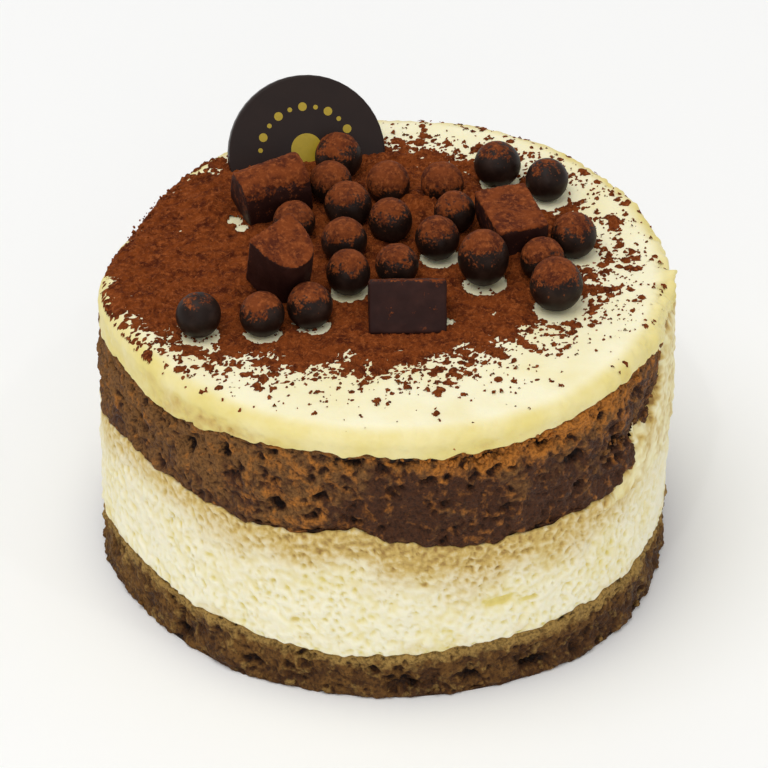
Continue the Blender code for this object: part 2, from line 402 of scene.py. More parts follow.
def crumb_material(name, crumb, soaked, toasted, bump):
    """Sponge crumb with its own three browns."""
    material, tree, shader = principled(name, 0.7, Specular_IOR_Level=0.16)
    values = {"Crumb": crumb, "Soaked": soaked, "Toasted": toasted, "Hollow Shade": CRUMB_HOLLOW_SHADE, "Grain": 1.5}
    for label in ("depth", "tone", "toast"):
        values[label.capitalize()] = attribute(tree, label)
    skin = add_node(tree, "ShaderNodeGroup", values, node_tree=CRUMB_GROUP).outputs
    normal = bumped(tree, 0.6, bump, skin["Height"])
    feed(tree, shader.inputs, {"Base Color": skin["Color"], "Roughness": skin["Gloss"], "Normal": normal})
    return material


def local_mean(field, steps):
    """Each value blended with its neighbours along and across the rows."""
    for _ in range(steps):
        along = field + np.roll(field, 1, 1) + np.roll(field, -1, 1)
        padded = np.pad(along, ((1, 1), (0, 0)), mode="edge")
        field = (padded[:-2] + padded[1:-1] + padded[2:]) / 9
    return field


def warped(points, size, amount, shift):
    """The points nudged about, so that round hollows come out torn."""
    nudge = [lumps(points, size, shift + step) for step in (0, 30, 60)]
    return points + amount * np.stack(nudge, -1)


def torn_crumb(points, way, shift, caves):
    """Pushes a sponge's side into crags and pores. Returns the new points, how deep each lies, used as
    painted shade, and how raised, used as painted light.
    """
    flat = points.reshape(-1, 3)
    azimuth = np.arctan2(flat[:, 1], flat[:, 0])
    side = np.hypot(way[..., 0], way[..., 1]).ravel()
    torn = warped(flat, 1.3 * MM, 0.55 * MM, shift + 200)
    swell = 0.55 * lumps(flat, 5.5 * MM, shift) + 0.55 * lumps(torn, 2.9 * MM, shift + 7)
    swell += 0.55 * np.abs(lumps(torn, 1.7 * MM, shift + 13))
    swell += 0.35 * np.abs(lumps(flat, 0.8 * MM, shift + 19))
    open_here = smooth(lumps(flat, 4.5 * MM, shift + 23), -0.05, 0.35)
    pored = smooth(lumps(flat, 3 * MM, shift + 25), -0.25, 0.3)
    big = hollows(torn * (1, 1, 1.3), 2.9 * MM, shift + 3, 0.46) * open_here
    middle = hollows(torn * (1, 1, 1.2), 1.3 * MM, shift + 5, 0.46) * pored
    cave = np.zeros(len(flat))
    for centre, height, wide, tall in caves:
        across = round_bump(azimuth, centre, wide)
        along = np.exp(-(((flat[:, 2] - height * MM) / (tall * MM)) ** 2))
        ragged = 1 + 0.8 * lumps(torn, 1.5 * MM, shift + 90)
        cave = np.maximum(cave, across * ragged * along)
    push = swell - 0.35 - 1.35 * big**0.7 - 0.5 * middle**0.8 - 1.6 * np.clip(cave, 0, 1.2)
    push = np.clip(push, -2.2, 0.5)
    grid = push.reshape(points.shape[:2])
    sunk = local_mean(grid, 5) - grid
    wide_sunk = local_mean(grid, 24) - grid
    # Painted shade: how sunk each point lies, and the caves, set how dark the crumb is coloured there.
    depth = np.clip(1.1 * sunk + 0.5 * wide_sunk + 0.5 * cave.reshape(grid.shape) - 0.08, 0, 1)
    moved = flat + way.reshape(-1, 3) * (push * side * MM)[:, None]
    return moved.reshape(points.shape), depth, np.clip(-1.5 * sunk - 0.4 * wide_sunk, -1, 1)


def sponge_layer(node, rows, shift, caves, tone_of, material):
    radius, foot, top = seamed_rim(node)
    path = side_path(rows, (SPONGE_EDGE, SPONGE_EDGE), (0.4 * MM, 0.3 * MM), 4, 2, SPONGE_SHARES)
    points, way = turned_points(path, radius, foot, top)
    moved, depth, relief_light = torn_crumb(points, way, shift, caves)
    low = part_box(node)[0].z
    moved[..., 2] = np.maximum(moved[..., 2], low)
    height = (points[..., 2] - foot) / (top - foot)
    tone, toast = tone_of(AZIMUTH[None, :] + 0 * height, height)
    # Painted light: the crumb's ridges are made paler and more toasted, and its hollows wetter and darker.
    fields = {"depth": depth, "tone": tone + 0.3 * relief_light, "toast": toast + 0.15 * relief_light}
    piece = turned_piece(node + "_crumb", moved, fields)
    piece.data.materials.append(material)
    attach(piece, "root")
    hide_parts(node)
    return piece


def lower_tone(azimuth, height):
    """How dry and how pale: the upper edge and the left missed the coffee, the foot soaked it up."""
    dry = 0.10 * round_bump(azimuth, -140, 40) - 0.14 * (1 - height)
    return dry + 0.16 * smooth(height, 0.4, 1), 0.5 * smooth(height, 0.5, 1) ** 1.5


def upper_tone(azimuth, height):
    """How dry and how toasted: grey at the left, soaked in the middle, toasted at the right edge."""
    dry = 0.14 * round_bump(azimuth, -150, 30) + 0.10 * round_bump(azimuth, -112, 12)
    dry = dry - 0.12 * round_bump(azimuth, -84, 20) - 0.16 * (1 - height) ** 2
    edge = smooth(height, 0.62, 1) * (0.04 + 0.6 * round_bump(azimuth, -54, 24))
    dry = dry - 0.14 * round_bump(azimuth, -50, 18) * (1 - smooth(height, 0.5, 0.9))
    return dry + 0.5 * edge, edge + 0.12 * round_bump(azimuth, -108, 10)


# Caves torn in the sides: azimuth, height, half width in degrees and half height in millimetres.
LOWER_CAVES = [(-85, 2.6, 3.4, 1.1), (-73, 2.8, 3.0, 1.0), (-59, 2.4, 3.0, 0.9), (-21, 6.0, 2.5, 1.2)]
LOWER_CAVES += [(-118, 3.0, 2.0, 0.8), (-136, 2.2, 2.0, 0.8), (60, 3.0, 3.0, 1.0), (150, 4.0, 2.5, 1.0)]
UPPER_CAVES = [(-134, 35.0, 2.0, 1.4), (-124, 37.0, 1.6, 1.2), (-112, 31.0, 1.8, 1.0)]
UPPER_CAVES += [(-98, 40.5, 5.0, 1.1), (-86, 40.8, 6.0, 1.2), (-71, 40.4, 6.0, 1.4), (-57, 39.6, 3.0, 0.9)]
UPPER_CAVES += [(-101, 27.5, 5.0, 0.7), (-50, 35.0, 2.2, 1.0), (-38, 33.0, 2.0, 1.2)]
UPPER_CAVES += [(70, 35.0, 3.0, 1.2), (130, 33.0, 2.5, 1.0)]
LOWER_BROWNS = (srgb(118, 82, 40), srgb(76, 45, 16), srgb(172, 138, 76))
UPPER_BROWNS = (srgb(130, 90, 50), srgb(76, 43, 22), srgb(192, 120, 48))
lower_crumb = crumb_material("soaked_crumb", *LOWER_BROWNS, 0.6 * MM)
upper_crumb = crumb_material("torn_crumb", *UPPER_BROWNS, 0.7 * MM)
sponge_layer("lower_sponge", 34, 0.0, LOWER_CAVES, lower_tone, lower_crumb)
sponge_layer("upper_sponge", 54, 41.0, UPPER_CAVES, upper_tone, upper_crumb)

# ---------------------------------------------------------------- the middle cream
# Mascarpone whipped with egg yolk and sugar, spread in the ring over the first sponge. Its side is
# smooth from the ring and full of small air pits, and coffee from the sponge above stains it tan.
# Shade is painted into the pits, which are made yellower and more stained.

# The yellow and the two stains also colour the painted shade in the cream's pits and hollows.
CREAM_WHITE = srgb(247, 241, 212)
CREAM_YELLOW = srgb(234, 218, 132)
CREAM_STAIN = srgb(206, 176, 100)
CREAM_STAIN_DEEP = srgb(150, 110, 50)


def cream_group():
    """Whipped cream: white to yellow by its moisture, stained by coffee, with a soft uneven gloss; both
    inputs also bring painted shade into pits and hollows.
    """
    labels = ("White", "Yellow", "Stain", "Deep Stain")
    tree, given, give = new_group("whipped_cream", labels, ("Yolk and Shade", "Coffee and Shade"), ("Height", "Gloss"))
    cloud = speckle(tree, 220.0, 3.0)
    grain = speckle(tree, 1300.0, 3.0)
    yolk_and_shade = ranged(tree, reckon(tree, "MULTIPLY_ADD", cloud, 0.55, given["Yolk and Shade"]), 0.25, 1.1)
    body = blend(tree, yolk_and_shade, given["White"], given["Yellow"])
    # The coffee input also carries painted shade in pits and hollows, so these stains are partly shade.
    soaked = reckon(tree, "MULTIPLY", given["Coffee and Shade"], ranged(tree, grain, 0.35, 0.65, 0.78, 1.22))
    stained = blend(tree, ranged(tree, soaked, 0.0, 0.85), body, given["Stain"])
    deep = ranged(tree, soaked, 0.85, 1.4, 0.0, 0.85)
    colour = blend(tree, deep, stained, given["Deep Stain"])
    gloss = ranged(tree, cloud, 0.35, 0.65, 0.42, 0.62)
    feed(tree, give, {"Color": colour, "Height": grain, "Gloss": gloss})
    return tree


CREAM_GROUP = cream_group()


def cream_material(name, white, yellow, bump):
    material, tree, shader = principled(
        name,
        0.5,
        Specular_IOR_Level=0.3,
        Subsurface_Weight=0.15,
        Subsurface_Radius=(1.0, 0.8, 0.45),
        Subsurface_Scale=1.5 * MM,
    )
    values = {"White": white, "Yellow": yellow, "Stain": CREAM_STAIN, "Deep Stain": CREAM_STAIN_DEEP}
    values.update({"Yolk and Shade": attribute(tree, "yolk_and_shade"), "Coffee and Shade": attribute(tree, "coffee_and_shade")})
    skin = add_node(tree, "ShaderNodeGroup", values, node_tree=CREAM_GROUP).outputs
    normal = bumped(tree, 0.6, bump, skin["Height"])
    feed(tree, shader.inputs, {"Base Color": skin["Color"], "Roughness": skin["Gloss"], "Normal": normal})
    return material


# Marks in the side: azimuth, height, half width and half height in millimetres, depth, coffee, yolk.
# The yolk yellow laid in each dent is painted shade.
CREAM_MARKS = [
    (-95, 24.6, 1.7, 0.7, 0.5, 0.75, 0.2),
    (-82, 19.8, 0.6, 0.5, 0.2, 0.9, 0.3),
    (-67, 14.8, 2.4, 0.9, 0.55, 0.1, 0.9),
    (-60, 13.9, 1.4, 0.5, 0.3, 0.1, 0.8),
    (-60, 22.7, 1.2, 0.6, 0.25, 0.6, 0.2),
    (-108, 12.4, 0.7, 0.4, 0.25, 0.2, 0.4),
    (-128, 18.5, 0.8, 0.4, 0.25, 0.0, 0.4),
    (140, 17.0, 1.8, 0.8, 0.45, 0.1, 0.8),
    (75, 22.0, 1.5, 0.7, 0.4, 0.6, 0.2),
    (15, 14.0, 1.2, 0.6, 0.35, 0.1, 0.6),
]

cream_radius, cream_foot, cream_top = seamed_rim("middle_cream")
cream_path = side_path(62, (0.3 * MM, 0.3 * MM), (0.3 * MM, 0.3 * MM), 2, 2, SPONGE_SHARES)
cream_points, cream_way = turned_points(cream_path, cream_radius, cream_foot, cream_top)
flat = cream_points.reshape(-1, 3)
cream_azimuth = np.arctan2(flat[:, 1], flat[:, 0])
cream_side_shape = cream_points.shape[:2]
cream_side = np.hypot(cream_way[..., 0], cream_way[..., 1]).ravel()
curd = warped(flat, 1.1 * MM, 0.4 * MM, 300)
air = hollows(curd, 1.5 * MM, 2, 0.42) * smooth(lumps(flat, 6 * MM, 31), -0.35, 0.2)
fine_air = hollows(curd, 0.85 * MM, 4, 0.48) * smooth(lumps(flat, 2.5 * MM, 33), -0.4, 0.3)
cream_push = 0.2 * lumps(flat, 6 * MM, 11) + 0.26 * lumps(curd, 2.3 * MM, 12)
cream_push += 0.26 * lumps(curd, 1.1 * MM, 14) - 0.02 - 0.5 * air - 0.34 * fine_air
below_top = ((cream_top - cream_points[..., 2]) / MM).ravel()
front = round_bump(cream_azimuth, -84, 36)
soak_reach = 3.6 + 3.6 * front + 4.0 * lumps(flat, 8 * MM, 51) + 1.2 * lumps(flat, 2.2 * MM, 53)
soak_reach = np.maximum(soak_reach - 2.2 * round_bump(cream_azimuth, 178, 24), 0.8)
coffee_and_shade = (1 - smooth(below_top, 0.1 * soak_reach, 1.35 * soak_reach + 1.2)) * (0.55 + 0.32 * front)
coffee_and_shade += 0.14 * (1 - smooth(below_top, 2, 15))
low_down = 1 - smooth(flat[:, 2], 9.2 * MM, 11.0 * MM)
coffee_and_shade += 0.22 * low_down * smooth(lumps(flat, 5 * MM, 71), -0.2, 0.4)
yolk_and_shade = 0.14 + 0.35 * lumps(flat, 6 * MM, 81)
for centre, height, wide, tall, depth, tan, gold in CREAM_MARKS:
    across = (cream_azimuth - math.radians(centre) + math.pi) % math.tau - math.pi
    inside = np.exp(-((across * cream_radius.mean() / (wide * MM)) ** 2) ** 1.5)
    inside *= np.exp(-(((flat[:, 2] - height * MM) / (tall * MM)) ** 2) ** 1.5)
    cream_push -= depth * inside
    coffee_and_shade = np.maximum(coffee_and_shade, tan * inside)
    yolk_and_shade = np.maximum(yolk_and_shade, gold * inside)
cream_push = cream_push.reshape(cream_side_shape)
# Painted shade: the pits are made yellower and more stained by how far they sink below their surroundings.
pitted = local_mean(cream_push, 4) - cream_push
yolk_and_shade = yolk_and_shade + 2.6 * np.clip(pitted, -0.1, 0.4).ravel()
coffee_and_shade = coffee_and_shade * (1 + 3.2 * np.clip(pitted, -0.12, 0.4).ravel())
flat = flat + cream_way.reshape(-1, 3) * (cream_push.ravel() * cream_side * MM)[:, None]
middle_cream = turned_piece(
    "middle_cream_spread",
    flat.reshape(cream_points.shape),
    {"coffee_and_shade": np.clip(coffee_and_shade, 0, 1.2), "yolk_and_shade": yolk_and_shade},
)
middle_cream.data.materials.append(cream_material("mascarpone", CREAM_WHITE, CREAM_YELLOW, 0.3 * MM))
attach(middle_cream, "root")
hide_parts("middle_cream")

# ---------------------------------------------------------------- the cap of cream
# The last cream, struck off level with the ring and smoothed with a spatula. It bellies out over the
# sponge when the ring comes off, its rim is round, and at the right it tore a little. Its side is
# coloured yellower than its top.

cap_radius, cap_foot, cap_top = seamed_rim("top_cream")
cap_vertices = node_points("top_cream")
CAP_SPAN = cap_radius.mean()
RIM_IN, RIM_DROP = 3.1 * MM, 2.1 * MM
cap_upper = cap_vertices[cap_vertices[:, 2] > cap_top.mean() - 1.5 * MM]
CAP_LEVEL = np.median(cap_upper[np.hypot(cap_upper[:, 0], cap_upper[:, 1]) < 0.6 * CAP_SPAN, 2])

garnish = [name for name in frame["nodes"] if name.startswith(("pearl", "chunk"))]
GARNISH_BOXES = {name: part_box(name) for name in garnish}


def cap_surface(x, y):
    """Height of the cream's top at any place, pressed in a little round each thing set in it."""
    azimuth = np.arctan2(y, x)
    share = np.hypot(x, y) / CAP_SPAN
    rim = np.interp(azimuth, AZIMUTH, cap_top, period=math.tau)
    place = np.stack([x, y, 0 * x], -1).reshape(-1, 3)
    wave = (0.16 * lumps(place, 11 * MM, 91) + 0.07 * lumps(place, 3.5 * MM, 93)).reshape(x.shape)
    height = CAP_LEVEL + (rim - CAP_LEVEL) * np.clip(share, 0, 1) ** 4 + wave * MM
    for low, high in GARNISH_BOXES.values():
        middle = (low + high) / 2
        away = np.hypot((x - middle.x) / (high.x - low.x), (y - middle.y) / (high.y - low.y)) * 2
        height = height - 0.45 * MM * np.exp(-((away / 1.05) ** 4))
    # Cream squeezed up in front of the bar at the right.
    heap = np.exp(-(((x - 18.5 * MM) / (4 * MM)) ** 2) - ((y - 1.8 * MM) / (2.4 * MM)) ** 2)
    return height + 1.6 * MM * heap


TOP_SHARES = np.linspace(0.02, 0.915, 34)
cap_path = side_path(20, (RIM_IN, RIM_DROP), (0.9 * MM, 0.4 * MM), 14, 4, TOP_SHARES)
cap_points, cap_way = turned_points(cap_path, cap_radius, cap_foot, cap_top)
# The side is drawn down with the top where the top dips, so that it never folds over itself.
surface = cap_surface(cap_points[..., 0], cap_points[..., 1])
cap_points[..., 2] += cap_path[:, 3][:, None] * (surface - cap_top[None, :])
flat = cap_points.reshape(-1, 3)
cap_azimuth = np.arctan2(flat[:, 1], flat[:, 0])
cap_side = np.hypot(cap_way[..., 0], cap_way[..., 1]).ravel()
torn = round_bump(cap_azimuth, -8, 17) + 0.6 * round_bump(cap_azimuth, 35, 12)
cap_push = 0.22 * lumps(flat, 6 * MM, 101) + 0.10 * lumps(flat, 2.2 * MM, 103)
cap_push += torn * (0.9 * lumps(flat, 2.6 * MM, 105) + 0.6 * lumps(flat, 1.2 * MM, 107))
flake = round_bump(cap_azimuth, -1, 2.4) * np.exp(-(((flat[:, 2] - 44.2 * MM) / (0.7 * MM)) ** 2))
cap_push += 1.0 * flake * (1 + lumps(flat, 0.9 * MM, 108))
porous = round_bump(cap_azimuth, -128, 15) * smooth(-flat[:, 2], -43.5 * MM, -41.5 * MM)
cap_air = hollows(flat, 1.0 * MM, 109, 0.5)
cap_push += 0.14 * lumps(flat, 1.3 * MM, 104)
cap_push -= cap_air * (0.35 * porous + 0.20 * torn + 0.14)
flat = flat + cap_way.reshape(-1, 3) * (cap_push * np.clip(cap_side * 1.6, 0, 1) * MM)[:, None]
# Small dimples in the side, painted as yellow and tan spots of shade with no dent made: azimuth, and
# height in millimetres.
DIMPLES = [(-145, 42.6), (-136, 42.2), (-35, 43.4), (-112, 41.6), (-70, 42.0), (20, 42.5), (120, 42.0)]
# Painted shade: each dimple is only yellow and tan colour in the cap's fields.
dimple_shade = np.zeros(len(flat))
for centre, level in DIMPLES:
    along = np.exp(-(((flat[:, 2] - level * MM) / (0.8 * MM)) ** 2))
    dimple_shade = np.maximum(dimple_shade, round_bump(cap_azimuth, centre, 1.3) * along)
# The side is coloured yellower than the top, and at the back more stained, by how far it faces out.
facing_out = smooth(cap_side, 0.0, 0.75)
cap_yolk_and_shade = 0.05 + 0.9 * dimple_shade + 0.62 * facing_out + 0.25 * lumps(flat, 7 * MM, 111) + 0.3 * porous
cap_coffee_and_shade = 0.35 * dimple_shade + porous * (0.5 + 0.7 * lumps(flat, 1.2 * MM, 113))
cap_coffee_and_shade += 0.2 * facing_out * smooth(cap_azimuth, 0, 1)
cap = turned_piece(
    "top_cream_spread",
    flat.reshape(cap_points.shape),
    {"coffee_and_shade": np.clip(cap_coffee_and_shade, 0, 1), "yolk_and_shade": cap_yolk_and_shade},
)
cap_cream = cream_material("mascarpone_cap", srgb(247, 240, 204), srgb(228, 211, 130), 0.12 * MM)
cap.data.materials.append(cap_cream)
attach(cap, "root")
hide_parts("top_cream")

# ---------------------------------------------------------------- the cream smear
# Cream from the cap that the ring dragged down over the upper sponge at the right as it came off. It
# is a thin, knobbly coat, stained by the wet crumb under it, and it only clings there. Its hollows
# are painted more stained and yellower as shade.


def grid_corners(grid):
    """What a grid holds at the four corners of each of its cells, in order round the cell."""
    return np.stack([grid[:-1, :-1], grid[1:, :-1], grid[1:, 1:], grid[:-1, 1:]], -1)


smear_turn = np.radians(np.arange(-46, 62, 0.42))
smear_height = np.arange(23.5, 44.0, 0.3) * MM
turn, level = np.meshgrid(smear_turn, smear_height, indexing="ij")
bearing = np.degrees(turn)
slope = level / MM - 25.0 - 0.66 * (bearing + 38)
sponge_radius = np.interp(turn, AZIMUTH, rim_of("upper_sponge")[0], period=math.tau)
spot = np.stack([RING_RADIUS * np.cos(turn), RING_RADIUS * np.sin(turn), level], -1).reshape(-1, 3)
tear = (2.4 * lumps(spot, 4.5 * MM, 121) + 2.6 * lumps(spot, 1.8 * MM, 123)).reshape(turn.shape)
reach_over = np.maximum(-slope, 0.55 * (bearing + 17)) + tear
reach_over = np.minimum(reach_over, 0.35 * (50 - bearing) - 0.22 * (level / MM - 34) + 1.4 * tear)
reach_over = np.minimum(reach_over, 1.2 * (41.6 - level / MM))
thick = np.clip(reach_over / 1.6, -1, 1)
knobs = 0.5 * np.abs(lumps(spot, 2.4 * MM, 125)) + 0.4 * np.abs(lumps(spot, 1.1 * MM, 127))
knobs = knobs.reshape(turn.shape) - 0.15
smear_radius = sponge_radius + (0.75 * thick - 0.1 + knobs * np.clip(thick + 0.5, 0, 1)) * MM
smear_points = np.stack([smear_radius * np.cos(turn), smear_radius * np.sin(turn), level], -1)
cell = grid_corners(thick > -0.95).all(-1)
corners = grid_corners(np.arange(turn.size).reshape(turn.shape))[cell]
used, corners = np.unique(corners, return_inverse=True)
# Painted shade: the smear's hollows are made more stained and yellower by how far they sink.
smear_sunk = (local_mean(knobs, 4) - knobs).ravel()
smear_coffee_and_shade = 0.40 + 1.0 * lumps(spot, 2.2 * MM, 129) + 0.8 * lumps(spot, 0.9 * MM, 131)
smear_coffee_and_shade += 1.5 * smear_sunk
smear_coffee_and_shade = smear_coffee_and_shade * (0.7 + 1.2 * (1 - np.clip(thick, 0, 1).ravel()))
smear = new_mesh(
    "cream_smear",
    smear_points.reshape(-1, 3)[used],
    corners.reshape(-1, 4),
    {"coffee_and_shade": np.clip(smear_coffee_and_shade, 0, 1.3)[used], "yolk_and_shade": (0.3 + 1.2 * smear_sunk)[used]},
)
smear.data.materials.append(cap_cream)
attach(smear, "root")

# ---------------------------------------------------------------- the sifted cocoa
# Cocoa powder shaken through a sieve from the back left once the chocolate was in place. It lies
# thick over the middle and thins to clots and specks at the front and the right.

COCOA_GRID = 0.27 * MM
COCOA_MIDDLE = Vector((-5, 3.8, 0)) * MM
SIFTED_REACH = {"right": 36 * MM, "left": 41 * MM, "front": 29.3 * MM, "back": 29 * MM}
# Pearls whose foot kept the powder off the cream in front of them, and how much.
SHELTERED = {7: 0.9, 10: 0.5, 11: 0.45, 12: 0.35, 17: 0.7, 18: 0.6, 20: 0.6, 21: 0.6, 16: 0.5, 8: 0.8}
# Bare cream at the left end of the back bar and the right end of the front one.
BARE_SPOTS = [(-20.2, 10.4, 1.0), (-21.2, 12.6, 1.0), (9.0, -13.0, 0.8)]


def cocoa_cover(x, y):
    """Above 0 where cocoa lies: how far from the middle of the sifting, broken up by clots."""
    dx, dy = x - COCOA_MIDDLE.x, y - COCOA_MIDDLE.y
    wide = np.where(dx > 0, SIFTED_REACH["right"], SIFTED_REACH["left"])
    long = np.where(dy > 0, SIFTED_REACH["back"], SIFTED_REACH["front"])
    share = np.hypot(dx / wide, dy / long)
    amount = np.clip((1.02 - share) / np.where(share < 1.02, 0.30, 0.36), -1.7, 1.2)
    back_right = smooth(dy, 5 * MM, 15 * MM) * smooth(dx, -5 * MM, 8 * MM)
    amount = np.maximum(amount, -0.34 * back_right - 2.0 * (1 - back_right))
    right = smooth(dx, 16 * MM, 28 * MM) * smooth(dy, -30 * MM, -14 * MM)
    amount = np.maximum(amount, -0.5 * right - 2.0 * (1 - right))
    bare_left = np.exp(-(((x + 29.5 * MM) / (3.5 * MM)) ** 2) - ((y - 11 * MM) / (3 * MM)) ** 2)
    amount = amount - 0.75 * bare_left
    place = np.stack([x, y, 0 * x], -1).reshape(-1, 3)
    ragged = warped(place, 0.7 * MM, 0.22 * MM, 240)
    large = hollows(ragged, 1.9 * MM, 207, 0.5) * (0.85 + 1.8 * lumps(place, 3.1 * MM, 209))
    medium = hollows(ragged, 1.05 * MM, 211, 0.5) * (0.8 + 1.8 * lumps(place, 1.8 * MM, 215))
    small = hollows(ragged, 0.6 * MM, 217, 0.5) * (0.55 + 1.4 * lumps(place, 1.0 * MM, 219))
    clots = 0.6 * lumps(place, 3.4 * MM, 201) + 0.3 * lumps(place, 0.5 * MM, 205) - 0.42
    clots += 1.75 * np.maximum.reduce([0.9 * large, medium, small])
    cover = amount + clots.reshape(x.shape)
    for bare_x, bare_y, bare_wide in BARE_SPOTS:
        away = ((x - bare_x * MM) ** 2 + (y - bare_y * MM) ** 2) / (bare_wide * MM) ** 2
        cover = cover - 3 * np.exp(-(away**2))
    for number, strength in SHELTERED.items():
        low, high = GARNISH_BOXES[f"pearl_{number:02d}"]
        middle, radius = (low + high) / 2, (high.x - low.x) / 2
        away = np.hypot(x - middle.x - 0.08 * radius, y - middle.y + 0.27 * radius)
        cover = cover - 3.2 * strength * (1 - smooth(away, 0.72 * radius, 1.04 * radius))
    return cover


def cocoa_group():
    """Dry cocoa: three browns in clots, with a sandy height."""
    tree, given, give = new_group("cocoa", ("Body", "Dark", "Pale"), (), ("Height",))
    drift = speckle(tree, 420.0, 5.0, 0.7)
    sand = speckle(tree, 1500.0, 4.0, 0.7)
    body = blend(tree, ranged(tree, drift, 0.56, 0.38), given["Body"], given["Dark"])
    colour = blend(tree, ranged(tree, sand, 0.5, 0.66, 0.0, 0.9), body, given["Pale"])
    feed(tree, give, {"Color": colour, "Height": sand})
    return tree


COCOA_GROUP = cocoa_group()
COCOA_BROWNS = {"Body": srgb(134, 64, 22), "Dark": srgb(84, 33, 10), "Pale": srgb(168, 90, 42)}


def cocoa_skin(tree):
    """The cocoa group's outputs, placed in a material."""
    return add_node(tree, "ShaderNodeGroup", COCOA_BROWNS, node_tree=COCOA_GROUP).outputs


cocoa_powder, cocoa_tree, cocoa_shader = principled("cocoa_powder", 0.95, Specular_IOR_Level=0.12)
powder = cocoa_skin(cocoa_tree)
sandy = bumped(cocoa_tree, 1.0, 0.8 * MM, powder["Height"])
feed(cocoa_tree, cocoa_shader.inputs, {"Base Color": powder["Color"], "Normal": sandy})

line = np.arange(-CAP_SPAN, CAP_SPAN, COCOA_GRID)
grid_x, grid_y = np.meshgrid(line, line, indexing="ij")
cover = cocoa_cover(grid_x, grid_y)
place = np.stack([grid_x, grid_y, 0 * grid_x], -1).reshape(-1, 3)
drifts = 0.5 + 0.5 * lumps(place, 1.7 * MM, 211) + 0.4 * lumps(place, 0.7 * MM, 213)
drifts = drifts.reshape(cover.shape)
crests = np.abs(lumps(place, 1.1 * MM, 217)) + 0.5 * np.abs(lumps(place, 0.55 * MM, 219))
heaped = np.clip(drifts + 1.3 * crests.reshape(cover.shape), 0.05, 2)
pile = np.where(cover > 0, 0.06 + 0.36 * np.clip(cover, 0, 1.3) * heaped, 0.25 * cover)
reach = np.hypot(grid_x, grid_y)
edge = np.interp(np.arctan2(grid_y, grid_x), AZIMUTH, cap_radius, period=math.tau)
height = cap_surface(grid_x, grid_y) + np.clip(pile, -0.25, 0.9) * MM
# Cocoa that drifted up between the pearls at the back and round the bars: place, width and height.
DRIFTS = [(4.5, 15.5, 4.5, 1.3), (12, 16, 4, 1.2), (-2, 8, 4, 0.7), (-24, 17, 3, 0.8)]
for drift_x, drift_y, drift_wide, drift_high in DRIFTS:
    away = ((grid_x - drift_x * MM) ** 2 + (grid_y - drift_y * MM) ** 2) / (drift_wide * MM) ** 2
    height += drift_high * MM * np.exp(-away) * (1 + drifts * 0.3)
# Past the flat the sheet follows the round rim down.
over = np.clip((reach - (edge - RIM_IN)) / RIM_IN, 0, 0.97)
height -= RIM_DROP * (1 - np.sqrt(1 - over**2))
cell = grid_corners((cover > -0.6) & (over < 0.9)).all(-1)
cell &= grid_corners(cover).max(-1) > 0
corners = grid_corners(np.arange(cover.size).reshape(cover.shape))[cell]
used, corners = np.unique(corners, return_inverse=True)
sheet_points = np.stack([grid_x.ravel(), grid_y.ravel(), height.ravel()], -1)[used]
cocoa = new_mesh("cocoa_dusting", sheet_points, corners.reshape(-1, 4))
cocoa.data.materials.append(cocoa_powder)
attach(cocoa, "root")

# ---------------------------------------------------------------- loose cocoa grains
# Clots of the same cocoa powder that fell through the sieve whole. They lie loose on the sifted coat
# and past its edge, each a small uneven lump.

GRAIN_COUNT = 4600
chance = np.random.default_rng(8)


def ball(splits):
    """Points and faces of a ball of radius 1."""
    work = bmesh.new()
    bmesh.ops.create_icosphere(work, subdivisions=splits, radius=1)
    work.verts.index_update()
    points = np.array([v.co[:] for v in work.verts])
    faces = np.array([[v.index for v in face.verts] for face in work.faces])
    work.free()
    return points, faces


def scattered_lumps(name, form, centres, sizes):
    """One mesh of many small uneven lumps, each squashed and turned its own way."""
    form_points, form_faces = form
    count, corners = len(centres), len(form_points)
    turn = np.linalg.qr(chance.normal(size=(count, 3, 3)))[0]
    squash = chance.uniform(0.55, 1.15, (count, 1, 3))
    uneven = 1 + chance.uniform(-0.28, 0.28, (count, corners, 1))
    shapes = (form_points[None] * squash * uneven) @ turn * sizes[:, None, None]
    points = (shapes + centres[:, None, :]).reshape(-1, 3)
    faces = form_faces[None] + (np.arange(count) * corners)[:, None, None]
    return new_mesh(name, points, faces.reshape(-1, 3))


spots = chance.uniform(-CAP_SPAN, CAP_SPAN, (60000, 2))
spots = spots[np.hypot(spots[:, 0], spots[:, 1]) < CAP_SPAN - 2.6 * MM]
spot_cover = cocoa_cover(spots[:, :1], spots[:, 1:])[:, 0]
at_edge = (spot_cover > -0.25) * (spot_cover < 0.6)
likely = np.clip(0.12 + 0.5 * at_edge + 0.25 * (spot_cover > 0.6), 0, 1)
likely *= smooth(spot_cover, -0.9, -0.2)
spots = spots[chance.random(len(spots)) < likely][:GRAIN_COUNT]
grain_sizes = np.exp(chance.normal(math.log(0.14), 0.35, len(spots))).clip(0.06, 0.3) * MM
spot_height = cap_surface(spots[:, 0], spots[:, 1]) + 0.06 * MM
spot_height += 0.22 * MM * np.clip(cocoa_cover(spots[:, :1], spots[:, 1:])[:, 0], 0, 1)
grain_places = np.column_stack([spots, spot_height])
grains = scattered_lumps("cocoa_grains", ball(1), grain_places, grain_sizes)
grains.data.materials.append(cocoa_powder)
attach(grains, "root")

# ---------------------------------------------------------------- pearls
# Crisp cereal balls coated in dark chocolate in a drum, so they are nearly round with a waxy skin.
# They were pressed lightly into the cream before the cocoa was sifted, which lies on their crowns.

CHOCOLATE = srgb(30, 18, 13)
CHOCOLATE_WORN = srgb(64, 46, 38)


